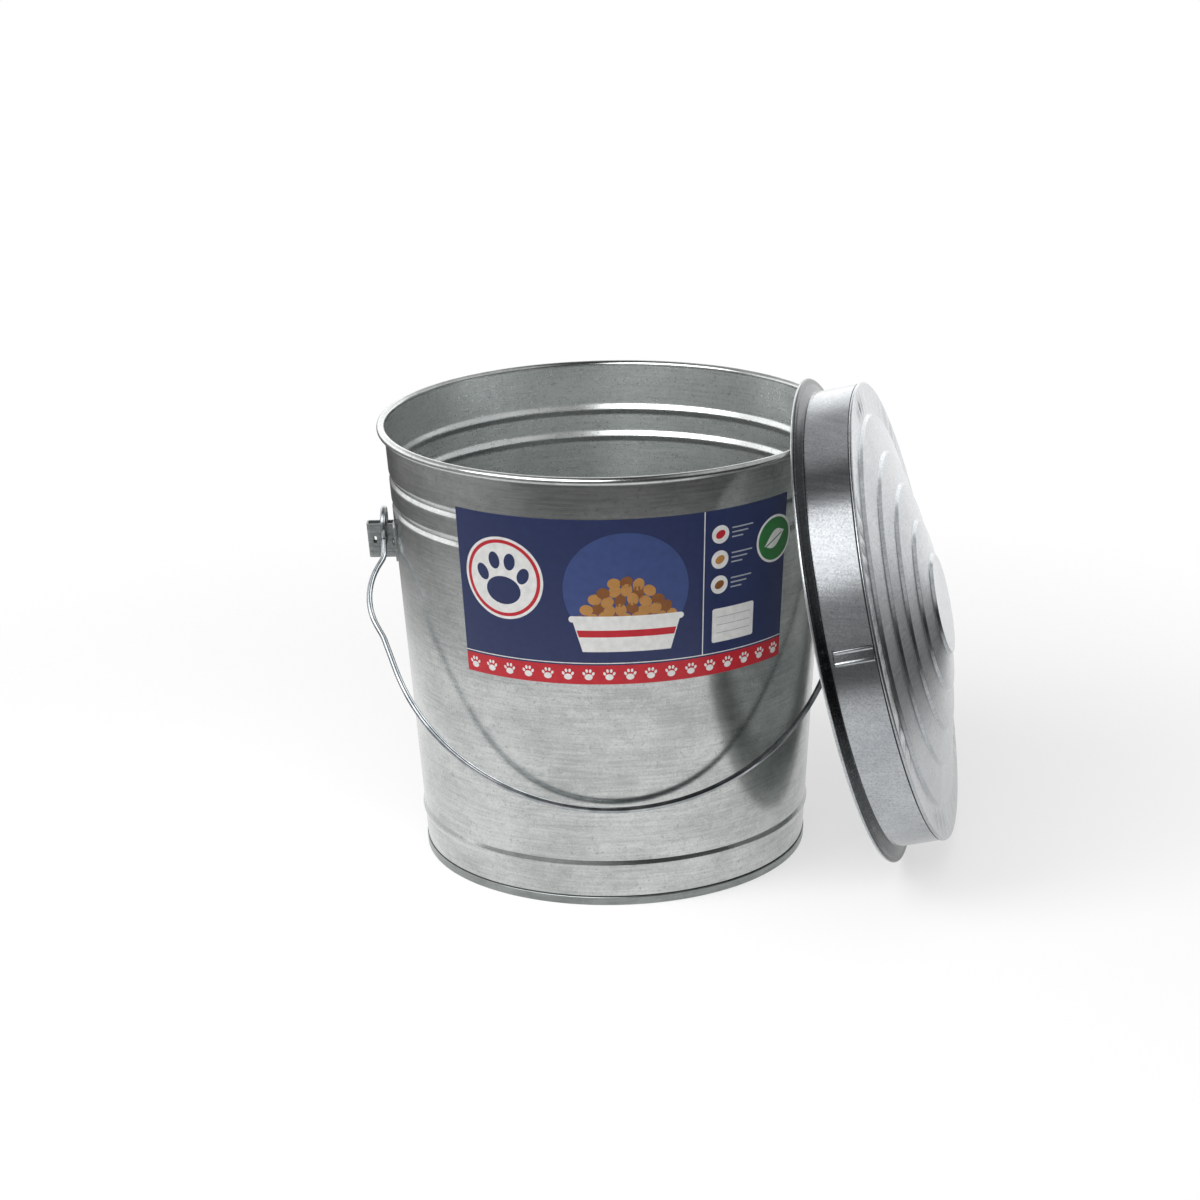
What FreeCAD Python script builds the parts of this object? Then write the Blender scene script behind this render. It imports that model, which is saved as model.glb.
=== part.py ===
import FreeCAD, Part
import math
import os

os.makedirs("parts", exist_ok=True)

# Lengths are in millimetres and angles in degrees. The can stands on z = 0 with its axis on Z.
# The front of the can looks along -Y and the ears lie on the X axis.

# Body
can_height = 385.8          # floor to the top of the rolled rim
rim_diameter = 397.6        # over the rolled rim
base_diameter = 336.2       # over the bottom seam
sheet = 0.8                 # galvanised sheet of the body and the lid
rim_roll = 7.0              # diameter of the rolled rim
rim_tuck = 1.0              # straight end of the roll, under the rim wire
roll_gap = 0.6              # between the rim wire and the roll
groove_drops = (69.3, 44.3) # from the rim down to each groove
groove_width = 9.0
groove_depth = 2.3
foot_bead_height = 37.0
foot_bead_width = 9.0
foot_bead_depth = 1.9
bead_bend = 3.0             # inside bend of the grooves and the bead
side_seam_width = 9.0
side_seam_angle = 20.0      # round the can from the right ear, towards the back
side_seam_margin = 4.0      # from the seam's ends to the base seam and the rim

# Bottom
pan_sheet = 0.8
pan_rise = 9.0              # underside of the bottom above the floor
pan_bend = 3.0
base_seam_height = 7.5      # outer band of the bottom seam
base_seam_bend = 0.9
seam_gap = 0.1              # between the bottom's channel and the wall

# Ears
pivot_drop = 93.8           # from the rim down to the axis of the bail
ear_height = 30.0
ear_above_pivot = 2.0       # top edge of the ear above the bail's axis
ear_head = 13.34015         # from the bail's eye out to the end of the ear
ear_width = 13.0            # across the folded strap
ear_sheet = 1.5
ear_bend = 3.0
ear_foot_width = 40.0       # base plate on the wall
ear_gap = 0.1               # between the base plate and the wall
neck_radius = 10.5          # round neck that the bail's eye turns on
ear_slot_width = 3.0        # see-through slot in the ear's head
ear_slot_height = 7.0
ear_slot_out = 8.0          # from the bail's eye to the slot
ear_slot_drop = 12.5        # below the bail's axis
rivet_spacing = 27.0
rivet_shank_radius = 2.0
rivet_hole_gap = 0.1
rivet_head_radius = 4.0
rivet_head_height = 1.8
rivet_head_crown_share = 0.62
rivet_tail_radius = 3.4
rivet_tail_height = 1.2

# Bail
wire_diameter = 5.0
eye_stand = 9.39953         # from the wall out to the middle of each eye
eye_thickening = 0.4        # the eye's wire is upset by this much across
eye_gap = 0.3               # between the eye and the neck
eye_side_gap = 0.3          # between the eye and the ear's blocks
eye_outer_gap = 0.4         # between the eye and the notch round it
bail_reach = 270.0          # from the bail's axis to the middle of its bow
bow_radius = 196.0
bow_end_angle = 19.0        # where the bow turns into its straight ends
# The bail's sides, as shares of the drop from its axis to the ends of its bow
kick_drop_share = 0.783679      # outward kick
kick_bend_share = 0.217688
shoulder_out_share = 0.151656    # corner of the rounded shoulder, beyond the eye
shoulder_drop_share = 0.494878
shoulder_bend_share = 0.435377
leg_drop_share = 0.232201       # end of the straight leg
leg_bend_share = 0.101588
bail_rest_gap = 6.0         # between the hanging bail and the wall

# Lid
lid_fit_gap = 0.4           # between the skirt and the rim it goes over
lid_depth = 49.6            # flange edge to the top's outer band
flange_reach = 12.8         # flange edge beyond the skirt
flange_roll = 4.4           # diameter of the flange's rolled edge
flange_height = 7.6         # where the skirt starts to flare
flare_share = 0.65          # sloped part of the flange
flare_bend = 3.0
flange_tuck = 0.9
flange_roll_gap = 0.45
crimp_lip = 4.5             # turned-down edge of the top
crimp_gap = 0.1
crimp_bend = 1.6
ring_shares = (0.22, 0.375, 0.54, 0.69, 0.86)   # ring beads, as shares of the skirt's radius
ring_rise = 2.6
ring_run = 2.4
ring_bend = 1.2
tread_fall = 4.9            # fall of the sheet between two rings
lid_seam_width = 14.0
lid_seam_thickness = 0.9
lid_seam_angle = 81.2       # round the lid from its highest point, towards the front
lid_seam_edge = 2.4         # width of the fold at each side of the lid seam
lid_seam_fold = 0.6
lid_seam_margin = 1.5

# How the lid stands beside the can
lid_lean = 12.8             # from upright, with its top towards the can
lid_turn = -10.3            # round the can from the right ear, towards the front
lid_rest_gap = 0.45         # between the rim and the flange that leans on it
lid_floor_gap = 0.1         # between the flange's rolled edge and the floor
rest_steps = 180            # places round the flange where that gap is tried

# Label and sticker
label_drop = 37.3           # from the rim down to the label
label_height = 144.5
label_left_angle = -41.8    # round the can from the front
label_right_angle = 50.7
label_sheet = 0.35
skin_gap = 0.1
sticker_radius = 21.0
sticker_drop = 74.1         # from the rim down to the sticker's middle
sticker_angle = 46.3
sticker_sheet = 0.25

overrun = 5.0               # how far cutting shapes run past what they cut
full_turn = 360.0

# Sizes that follow
rim_radius = rim_diameter / 2
roll_radius = rim_roll / 2
roll_height = can_height - roll_radius
base_inner = base_diameter / 2 - pan_sheet - seam_gap - sheet
taper = (rim_radius - rim_roll - base_inner) / roll_height
taper_angle = math.degrees(math.atan(taper))
pivot_height = can_height - pivot_drop
sticker_height = can_height - sticker_drop
wire_radius = wire_diameter / 2
eye_wire_radius = (wire_diameter + eye_thickening) / 2
eye_radius = neck_radius + eye_gap + eye_wire_radius
eye_notch_radius = eye_radius + eye_wire_radius + eye_outer_gap
eye_notch_width = 2 * (eye_wire_radius + eye_side_gap)
ear_top = pivot_height + ear_above_pivot
ear_bottom = ear_top - ear_height
skirt_inner = rim_radius + lid_fit_gap
skirt_outer = skirt_inner + sheet
flange_radius = skirt_outer + flange_reach
flange_roll_radius = flange_roll / 2
lip_outer = skirt_outer + crimp_gap + sheet
roll_bend_share = 0.485     # bend of a roll's corners, as a share of the roll


def wall_inner(height):
    return base_inner + taper * height


def wall_outer(height):
    return wall_inner(height) + sheet


eye_reach = wall_outer(pivot_height) + eye_stand


# Bent lines and strips: a line with rounded corners, moved sideways, gives both faces of a folded sheet

def direction(start, end):
    length = math.hypot(end[0] - start[0], end[1] - start[1])
    return (end[0] - start[0]) / length, (end[1] - start[1]) / length


def turns_left(before, after):
    return before[0] * after[1] - before[1] * after[0] > 0


def bend_points(start, corner, end, radius):
    before = direction(start, corner)
    after = direction(corner, end)
    cosine = before[0] * after[0] + before[1] * after[1]
    half_turn = math.acos(max(-1, min(1, cosine))) / 2
    reach = radius * math.tan(half_turn)
    rise = radius / math.cos(half_turn) - radius
    inward = (after[0] - before[0], after[1] - before[1])
    size = math.hypot(inward[0], inward[1])
    first = (corner[0] - before[0] * reach, corner[1] - before[1] * reach)
    middle = (corner[0] + inward[0] / size * rise, corner[1] + inward[1] / size * rise)
    last = (corner[0] + after[0] * reach, corner[1] + after[1] * reach)
    return first, middle, last


def moved_corners(points, side):
    moved = []
    for index, point in enumerate(points):
        before = direction(points[max(index - 1, 0)], points[max(index, 1)])
        after = direction(points[min(index, len(points) - 2)], points[min(index + 1, len(points) - 1)])
        spread = 1 + before[0] * after[0] + before[1] * after[1]
        shift = side / spread
        across = point[0] - shift * (before[1] + after[1])
        along = point[1] + shift * (before[0] + after[0])
        moved.append((across, along))
    return moved


def moved_bends(points, bends, side):
    moved = []
    for index, bend in enumerate(bends):
        before = direction(points[index], points[index + 1])
        after = direction(points[index + 1], points[index + 2])
        moved.append(bend - side if turns_left(before, after) else bend + side)
    return moved


def bent_edges(points, bends, place):
    edges = []
    start = points[0]
    for index, bend in enumerate(bends):
        first, middle, last = bend_points(points[index], points[index + 1], points[index + 2], bend)
        edges.append(Part.LineSegment(place(*start), place(*first)).toShape())
        edges.append(Part.Arc(place(*first), place(*middle), place(*last)).toShape())
        start = last
    edges.append(Part.LineSegment(place(*start), place(*points[-1])).toShape())
    return edges


def upright(across, height):
    return FreeCAD.Vector(across, 0, height)


def level(across, along):
    return FreeCAD.Vector(across, along, 0)


def strip(points, bends, near, far, place=upright):
    # The section of a sheet whose faces lie at two distances to the left of a bent line
    near_points = moved_corners(points, near)
    far_points = moved_corners(points, far)
    edges = bent_edges(near_points, moved_bends(points, bends, near), place)
    edges.append(Part.LineSegment(place(*near_points[-1]), place(*far_points[-1])).toShape())
    edges.extend(reversed(bent_edges(far_points, moved_bends(points, bends, far), place)))
    edges.append(Part.LineSegment(place(*far_points[0]), place(*near_points[0])).toShape())
    return Part.Face(Part.Wire(edges))


def spun(section, start=0, sweep=full_turn):
    face = section.copy()
    face.rotate(FreeCAD.Vector(0, 0, 0), FreeCAD.Vector(0, 0, 1), start)
    return face.revolve(FreeCAD.Vector(0, 0, 0), FreeCAD.Vector(0, 0, 1), sweep)


def arc_angle(length, radius):
    return math.degrees(length / radius)


def across_x(radius, middle, length, height):
    # A round bar along X
    start = FreeCAD.Vector(middle - length / 2, 0, height)
    return Part.makeCylinder(radius, length, start, FreeCAD.Vector(1, 0, 0))


def mirrored(shape):
    return shape.mirror(FreeCAD.Vector(0, 0, 0), FreeCAD.Vector(1, 0, 0))


# Body

def bead(height, width, lift):
    half = width / 2
    low = (wall_inner(height - half), height - half)
    crest = (wall_inner(height) + lift, height)
    high = (wall_inner(height + half), height + half)
    return [low, crest, high]


def wall_line():
    points = [(wall_inner(pan_sheet + seam_gap), pan_sheet + seam_gap)]
    points += bead(foot_bead_height, foot_bead_width, foot_bead_depth)
    for drop in groove_drops:
        points += bead(can_height - drop, groove_width, -groove_depth)
    return points


def make_body_wall():
    points = wall_line()
    bends = [bead_bend] * (len(points) - 1)
    points.append((wall_inner(can_height), can_height))
    points.append((rim_radius, can_height))
    points.append((rim_radius, can_height - rim_roll))
    points.append((rim_radius - roll_radius - rim_tuck, can_height - rim_roll))
    bends += [rim_roll * roll_bend_share] * 3
    wall = spun(strip(points, bends, 0, -sheet))
    return wall.fuse(make_side_seam()).removeSplitter()


def make_side_seam():
    low = base_seam_height + side_seam_margin
    high = can_height - rim_roll - side_seam_margin
    points = [(wall_inner(low), low)] + wall_line()[1:] + [(wall_inner(high), high)]
    bends = [bead_bend] * (len(points) - 2)
    section = strip(points, bends, -sheet / 2, -2 * sheet)
    return spun(section, side_seam_angle, arc_angle(side_seam_width, rim_radius))


def make_rim_wire():
    radius = roll_radius - sheet - roll_gap
    middle = (wall_inner(can_height) + rim_radius) / 2
    return Part.makeTorus(middle, radius, FreeCAD.Vector(0, 0, roll_height))


def make_bottom_pan():
    inner = -seam_gap - pan_sheet
    outer = seam_gap + pan_sheet
    points = [
        (0, pan_rise),
        (wall_inner(pan_rise) + inner, pan_rise),
        (wall_inner(0) + inner, 0),
        (wall_outer(0) + outer, 0),
        (wall_outer(base_seam_height) + outer, base_seam_height),
    ]
    return spun(strip(points, [pan_bend, base_seam_bend, base_seam_bend], 0, pan_sheet))


# Ears, made on the right and mirrored to the left

def make_ear():
    points = [(wall_outer(ear_bottom), ear_bottom), (wall_outer(ear_top), ear_top)]
    foot_angle = arc_angle(ear_foot_width, wall_outer(ear_bottom))
    foot = spun(strip(points, [], -ear_gap, -ear_gap - ear_sheet), -foot_angle / 2, foot_angle)
    notch = across_x(eye_notch_radius, eye_reach, eye_notch_width, pivot_height)
    neck = across_x(neck_radius, eye_reach, eye_notch_width, pivot_height)
    return foot.fuse([make_ear_strap().cut(notch), neck]).removeSplitter().cut(make_ear_slot())


def make_ear_strap():
    root = wall_outer(ear_bottom) + ear_gap + ear_sheet / 2
    tip = eye_reach + ear_head
    half = ear_width / 2
    points = [(root, -half), (tip, -half), (tip, half), (root, half)]
    section = strip(points, [ear_bend, ear_bend], 0, ear_sheet, level)
    section.translate(FreeCAD.Vector(0, 0, ear_bottom))
    return section.extrude(FreeCAD.Vector(taper * ear_height, 0, ear_height))


def make_ear_slot():
    middle = eye_reach + ear_slot_out
    height = pivot_height - ear_slot_drop
    radius = ear_slot_width / 2
    reach = ear_slot_height / 2 - radius
    start = -ear_width / 2 - overrun
    length = ear_width + 2 * overrun
    away = FreeCAD.Vector(0, 1, 0)
    low = Part.makeCylinder(radius, length, FreeCAD.Vector(middle, start, height - reach), away)
    high = Part.makeCylinder(radius, length, FreeCAD.Vector(middle, start, height + reach), away)
    corner = FreeCAD.Vector(middle - radius, start, height - reach)
    between = Part.makeBox(ear_slot_width, length, 2 * reach, corner)
    return low.fuse([high, between]).removeSplitter()


def on_ear_foot(shape, side):
    # From a shape along +X at the wall's outer face to its place beside the strap
    height = (ear_top + ear_bottom) / 2
    shape.rotate(FreeCAD.Vector(0, 0, 0), FreeCAD.Vector(0, 1, 0), taper_angle)
    shape.translate(FreeCAD.Vector(wall_outer(height), 0, height))
    angle = side * arc_angle(rivet_spacing / 2, wall_outer(height))
    shape.rotate(FreeCAD.Vector(0, 0, 0), FreeCAD.Vector(0, 0, 1), angle)
    return shape


def make_rivet(side):
    outward = FreeCAD.Vector(1, 0, 0)
    seat = 2 * ear_gap + ear_sheet
    tail_seat = -sheet - ear_gap
    crown = rivet_head_radius * rivet_head_crown_share
    head_start = FreeCAD.Vector(seat, 0, 0)
    head = Part.makeCone(rivet_head_radius, crown, rivet_head_height, head_start, outward)
    tail_start = FreeCAD.Vector(tail_seat - rivet_tail_height, 0, 0)
    tail = Part.makeCylinder(rivet_tail_radius, rivet_tail_height, tail_start, outward)
    shank_start = FreeCAD.Vector(tail_seat, 0, 0)
    shank = Part.makeCylinder(rivet_shank_radius, seat - tail_seat, shank_start, outward)
    return on_ear_foot(head.fuse([tail, shank]), side)


def make_rivet_hole(side):
    length = sheet + ear_sheet + 2 * overrun
    start = FreeCAD.Vector(-sheet - overrun, 0, 0)
    radius = rivet_shank_radius + rivet_hole_gap
    return on_ear_foot(Part.makeCylinder(radius, length, start, FreeCAD.Vector(1, 0, 0)), side)


# Bail: its line lies in a plane through the ears' axis, drawn as (across, drop from the axis)

def rest_tilt():
    # Angle from straight down at which the bow comes to rest in front of the wall
    tilt = math.pi / 4
    stand_off = (wire_radius + bail_rest_gap) / math.cos(math.radians(taper_angle))
    for _ in range(30):
        height = pivot_height - bail_reach * math.cos(tilt)
        tilt = math.asin((wall_outer(height) + stand_off) / bail_reach)
    return tilt


def on_bail(across, drop):
    tilt = rest_tilt()
    return FreeCAD.Vector(across, -drop * math.sin(tilt), pivot_height - drop * math.cos(tilt))


def bail_side():
    # From the right eye down to the end of the bow
    angle = math.radians(bow_end_angle)
    bow_middle = bail_reach - bow_radius
    bow_end = (bow_radius * math.cos(angle), bow_middle + bow_radius * math.sin(angle))
    side_drop = bow_end[1]
    kick_drop = side_drop * kick_drop_share
    points = [
        (eye_reach, eye_radius),
        (eye_reach, side_drop * leg_drop_share),
        (eye_reach + side_drop * shoulder_out_share, side_drop * shoulder_drop_share),
        (bow_end[0] + (side_drop - kick_drop) * math.tan(angle), kick_drop),
        bow_end,
    ]
    bends = [side_drop * share for share in (leg_bend_share, shoulder_bend_share, kick_bend_share)]
    return points, bends


def make_bail_handle():
    points, bends = bail_side()
    right = bent_edges(points, bends, on_bail)
    left = bent_edges([(-across, drop) for across, drop in points], bends, on_bail)
    across, drop = points[-1]
    bow = Part.Arc(on_bail(across, drop), on_bail(0, bail_reach), on_bail(-across, drop)).toShape()
    path = Part.Wire(right + [bow] + list(reversed(left)))
    start = on_bail(*points[0])
    along = on_bail(*points[1]) - start
    profile = Part.Wire(Part.makeCircle(wire_radius, start, along))
    sweep = Part.BRepOffsetAPI.MakePipeShell(path)
    sweep.add(profile)
    sweep.build()
    sweep.makeSolid()
    eyes = []
    for reach in (-eye_reach, eye_reach):
        middle = FreeCAD.Vector(reach, 0, pivot_height)
        eyes.append(Part.makeTorus(eye_radius, eye_wire_radius, middle, FreeCAD.Vector(1, 0, 0)))
    return Part.Solid(sweep.shape()).fuse(eyes)


# Lid, made with its flange edge on z = 0 and its top upwards, then stood beside the can

def top_line():
    points = []
    height = lid_depth + len(ring_shares) * ring_rise + (len(ring_shares) - 1) * tread_fall
    points.append((0, height))
    for share in ring_shares:
        radius = share * skirt_outer
        if share != ring_shares[0]:
            height -= tread_fall
        points.append((radius - ring_run / 2, height))
        height -= ring_rise
        points.append((radius + ring_run / 2, height))
    bends = [ring_bend] * (len(points) - 1) + [crimp_bend]
    points.append((lip_outer, lid_depth))
    points.append((lip_outer, lid_depth - crimp_lip))
    return points, bends


def make_lid_top():
    points, bends = top_line()
    return spun(strip(points, bends, 0, -sheet))


def skirt_line():
    flare_end = skirt_inner + flare_share * (flange_radius - sheet - skirt_inner)
    roll_top = flange_roll - sheet
    edge = flange_radius - sheet
    points = [
        (skirt_inner, lid_depth - crimp_bend - crimp_gap),
        (skirt_inner, flange_height),
        (flare_end, roll_top),
        (edge, roll_top),
        (edge, sheet),
        (flange_radius - flange_roll_radius - flange_tuck, sheet),
    ]
    roll_bend = (flange_roll - 2 * sheet) * roll_bend_share
    return points, [flare_bend, flare_bend, roll_bend, roll_bend]


def make_lid_skirt():
    points, bends = skirt_line()
    skirt = spun(strip(points, bends, 0, sheet))
    low = flange_height + flare_bend + lid_seam_margin
    high = lid_depth - crimp_lip - lid_seam_margin
    seam_line = [(skirt_inner, high), (skirt_inner, low)]
    pad = strip(seam_line, [], sheet / 2, sheet + lid_seam_thickness)
    fold = strip(seam_line, [], sheet / 2, sheet + lid_seam_thickness + lid_seam_fold)
    sweep = arc_angle(lid_seam_width, skirt_outer)
    fold_sweep = arc_angle(lid_seam_edge, skirt_outer)
    start = lid_seam_angle - sweep / 2
    seam = spun(pad, start, sweep)
    folds = [spun(fold, start, fold_sweep), spun(fold, start + sweep - fold_sweep, fold_sweep)]
    return skirt.fuse([seam] + folds).removeSplitter()


def make_lid_edge_wire():
    radius = flange_roll_radius - sheet - flange_roll_gap
    middle = FreeCAD.Vector(0, 0, flange_roll_radius)
    return Part.makeTorus(flange_radius - flange_roll_radius, radius, middle)


def resting_points():
    # Points of the lid's section that can meet the can: the flare's bend, the rolled edge and the top's inside
    points, bends = skirt_line()
    first, middle, last = bend_points(points[0], points[1], points[2], bends[0])
    flare = Part.Arc(upright(*first), upright(*middle), upright(*last)).toShape()
    roll_middle = upright(flange_radius - flange_roll_radius, flange_roll_radius)
    roll = Part.makeCircle(flange_roll_radius, roll_middle, FreeCAD.Vector(0, 1, 0))
    found = flare.discretize(9) + roll.discretize(24)
    points, bends = top_line()
    for edge in bent_edges(moved_corners(points, -sheet), moved_bends(points, bends, -sheet), upright):
        found += edge.discretize(4)
    return found


def rest_gap_at(out, height):
    # Least distance from the lid to the rolled rim and the wall below it, with the lid's middle this far out
    lean = math.radians(lid_lean)
    nearest = out
    for point in resting_points():
        for step in range(rest_steps):
            angle = math.pi / 2 * step / rest_steps
            up_lid = point.x * math.cos(angle)
            beside = point.x * math.sin(angle)
            across = out + point.z * math.cos(lean) - up_lid * math.sin(lean)
            above = height + point.z * math.sin(lean) + up_lid * math.cos(lean) - roll_height
            off_roll = math.hypot(math.hypot(across, beside) - rim_radius + roll_radius, above)
            nearest = min(nearest, off_roll - roll_radius)
            if above < 0:
                nearest = min(nearest, math.hypot(across, beside) - wall_outer(roll_height + above))
    return nearest


def lid_place():
    # The flange edge stands on the floor and the lid leans on the rim, at both sides of its highest point
    lean = math.radians(lid_lean)
    turn = math.radians(lid_turn)
    lift = (flange_radius - flange_roll_radius) * math.cos(lean)
    height = lift - flange_roll_radius * math.sin(lean) + flange_roll_radius + lid_floor_gap
    nearer = 0
    further = rim_radius + flange_radius
    for _ in range(30):
        out = (nearer + further) / 2
        if rest_gap_at(out, height) > lid_rest_gap:
            further = out
        else:
            nearer = out
    middle = FreeCAD.Vector(out * math.cos(turn), out * math.sin(turn), height)
    forward = FreeCAD.Vector(math.cos(turn), math.sin(turn), 0)
    rise = FreeCAD.Vector(0, 0, 1)
    top = forward * math.cos(lean) + rise * math.sin(lean)
    up = rise * math.cos(lean) - forward * math.sin(lean)
    return FreeCAD.Placement(middle, FreeCAD.Rotation(up, top.cross(up), top, "ZXY"))


def stood(shape, place):
    shape.Placement = place.multiply(shape.Placement)
    return shape


# Label and sticker, on the front of the wall

def skin(low, high, left, right, near, thickness):
    points = [(wall_outer(low), low), (wall_outer(high), high)]
    return spun(strip(points, [], -near, -near - thickness), left - full_turn / 4, right - left)


def make_label():
    label_top = can_height - label_drop
    return skin(label_top - label_height, label_top, label_left_angle, label_right_angle, skin_gap, label_sheet)


def make_sticker():
    low = sticker_height - sticker_radius - overrun
    high = sticker_height + sticker_radius + overrun
    reach = arc_angle(sticker_radius + overrun, wall_outer(low))
    near = label_sheet + 2 * skin_gap
    patch = skin(low, high, sticker_angle - reach, sticker_angle + reach, near, sticker_sheet)
    turn = math.radians(sticker_angle)
    outward = FreeCAD.Vector(math.sin(turn), -math.cos(turn), 0)
    middle = FreeCAD.Vector(0, 0, sticker_height)
    disc = Part.makeCylinder(sticker_radius, rim_radius + overrun, middle, outward)
    return patch.common(disc)


# Assembly

rivets = [make_rivet(-1), make_rivet(1)]
rivet_holes = [make_rivet_hole(-1), make_rivet_hole(1)]
all_holes = rivet_holes + [mirrored(hole) for hole in rivet_holes]
ear = make_ear().cut(rivet_holes)
lid_stand = lid_place()

pieces = {
    "body_wall": make_body_wall().cut(all_holes),
    "rim_wire": make_rim_wire(),
    "bottom_pan": make_bottom_pan(),
    "right_ear": ear,
    "left_ear": mirrored(ear),
    "right_ear_rivets": Part.makeCompound(rivets),
    "left_ear_rivets": Part.makeCompound([mirrored(rivet) for rivet in rivets]),
    "bail_handle": make_bail_handle(),
    "lid_top": stood(make_lid_top(), lid_stand),
    "lid_skirt": stood(make_lid_skirt(), lid_stand),
    "lid_edge_wire": stood(make_lid_edge_wire(), lid_stand),
    "front_label": make_label(),
    "round_sticker": make_sticker(),
}

for name, shape in pieces.items():
    shape.exportStep("parts/" + name + ".step")
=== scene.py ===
import math

import bmesh
import bpy
from mathutils import Matrix, Vector


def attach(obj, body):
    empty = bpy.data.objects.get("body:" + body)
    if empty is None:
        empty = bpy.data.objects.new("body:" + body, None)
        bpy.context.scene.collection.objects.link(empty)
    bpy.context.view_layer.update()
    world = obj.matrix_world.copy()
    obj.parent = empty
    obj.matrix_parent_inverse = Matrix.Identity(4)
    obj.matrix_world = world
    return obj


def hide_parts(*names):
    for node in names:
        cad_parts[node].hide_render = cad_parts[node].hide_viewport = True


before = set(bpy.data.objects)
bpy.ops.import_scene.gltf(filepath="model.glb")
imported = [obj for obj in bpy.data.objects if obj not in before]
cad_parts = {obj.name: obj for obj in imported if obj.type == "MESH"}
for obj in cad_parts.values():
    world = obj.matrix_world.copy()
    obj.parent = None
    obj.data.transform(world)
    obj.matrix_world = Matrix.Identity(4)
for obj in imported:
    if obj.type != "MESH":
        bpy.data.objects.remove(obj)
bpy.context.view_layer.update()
scene = bpy.context.scene
mm = 0.001
weld = 0.002 * mm
whiteLight = (1, 1, 1, 1)


# Small helpers

def hexColour(code):
    def linear(part):
        value = int(part, 16) / 255
        return value / 12.92 if value <= 0.04045 else ((value + 0.055) / 1.055) ** 2.4
    return (linear(code[1:3]), linear(code[3:5]), linear(code[5:7]), 1)


def addNode(tree, kind, links=None, **settings):
    node = tree.nodes.new(kind)
    for name, value in settings.items():
        setattr(node, name, value)
    for key, value in (links or {}).items():
        socket = node.inputs[key]
        if isinstance(value, bpy.types.NodeSocket):
            tree.links.new(value, socket)
        else:
            socket.default_value = value
    return node


def setInput(modifier, name, value):
    for item in modifier.node_group.interface.items_tree:
        if item.item_type == "SOCKET" and item.in_out == "INPUT" and item.name == name:
            modifier[item.identifier] = value


def newTree(name, inputs):
    tree = bpy.data.node_groups.new(name, "GeometryNodeTree")
    tree.interface.new_socket("Geometry", in_out="OUTPUT", socket_type="NodeSocketGeometry")
    tree.interface.new_socket("Geometry", in_out="INPUT", socket_type="NodeSocketGeometry")
    for label, kind in inputs:
        tree.interface.new_socket(label, in_out="INPUT", socket_type=kind)
    return tree, addNode(tree, "NodeGroupInput"), addNode(tree, "NodeGroupOutput")


def newObject(name, mesh):
    obj = bpy.data.objects.new(name, mesh)
    scene.collection.objects.link(obj)
    return obj


def settle(obj):
    # modifier result becomes the object's own plain mesh
    bpy.context.view_layer.update()
    graph = bpy.context.evaluated_depsgraph_get()
    mesh = bpy.data.meshes.new_from_object(obj.evaluated_get(graph))
    obj.modifiers.clear()
    old = obj.data
    obj.data = mesh
    mesh.name = obj.name
    bpy.data.meshes.remove(old)
    return obj


def cleanMesh(mesh, closeEnds=False):
    bm = bmesh.new()
    bm.from_mesh(mesh)
    bmesh.ops.remove_doubles(bm, verts=bm.verts, dist=weld)
    if closeEnds:
        bmesh.ops.holes_fill(bm, edges=[e for e in bm.edges if e.is_boundary], sides=0)
    bmesh.ops.recalc_face_normals(bm, faces=bm.faces)
    bm.to_mesh(mesh)
    bm.free()


# Sheet sections: a line with rounded corners, moved sideways for each face of the sheet

def sideNormal(a, b):
    run = (b - a).normalized()
    return Vector((-run.y, run.x))


def movedLine(points, bends, side):
    points = [Vector(p) for p in points]
    moved, radii = [], []
    for i, p in enumerate(points):
        before = sideNormal(points[max(i - 1, 0)], points[max(i, 1)])
        after = sideNormal(points[min(i, len(points) - 2)], points[min(i + 1, len(points) - 1)])
        moved.append(p + (before + after) * (side / (1 + before.dot(after))))
        if 0 < i < len(points) - 1:
            left = before.x * after.y - before.y * after.x > 0
            radii.append(bends[i - 1] - side if left else bends[i - 1] + side)
    return moved, radii


def roundedLine(points, bends, side=0.0, arcStep=12.0, hold=1.2 * mm, spacing=1.0):
    # hold points close to each bend keep the flats flat when the shading is smooth
    points, radii = movedLine(points, bends, side)
    line = [points[0]]

    def straightTo(end):
        start = line[-1]
        length = (end - start).length
        if length < 0.001 * mm:
            return
        if length > 3 * hold:
            count = max(1, math.ceil((length - 2 * hold) / spacing))
            for i in range(count + 1):
                line.append(start + (end - start) * ((hold + (length - 2 * hold) * i / count) / length))
        line.append(end)

    for i, radius in enumerate(radii):
        a, corner, b = points[i], points[i + 1], points[i + 2]
        before, after = (corner - a).normalized(), (b - corner).normalized()
        turn = before.angle_signed(after)
        half = abs(turn) / 2
        reach = radius * math.tan(half)
        first = corner - before * reach
        centre = corner + (after - before).normalized() * (radius / math.cos(half))
        straightTo(first)
        steps = max(3, math.ceil(math.degrees(abs(turn)) / arcStep))
        spoke = first - centre
        sign = 1 if before.x * after.y - before.y * after.x > 0 else -1
        for step in range(1, steps + 1):
            angle = sign * abs(turn) * step / steps
            c, s = math.cos(angle), math.sin(angle)
            line.append(centre + Vector((spoke.x * c - spoke.y * s, spoke.x * s + spoke.y * c)))
    straightTo(points[-1])
    return line


def sheetOutline(points, bends, near, far, spacing=1.0):
    outer = roundedLine(points, bends, near, spacing=spacing)
    inner = roundedLine(points, bends, far, spacing=spacing)
    return outer + inner[::-1]


# Spun sheet: the outline is carried round the Z axis

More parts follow.
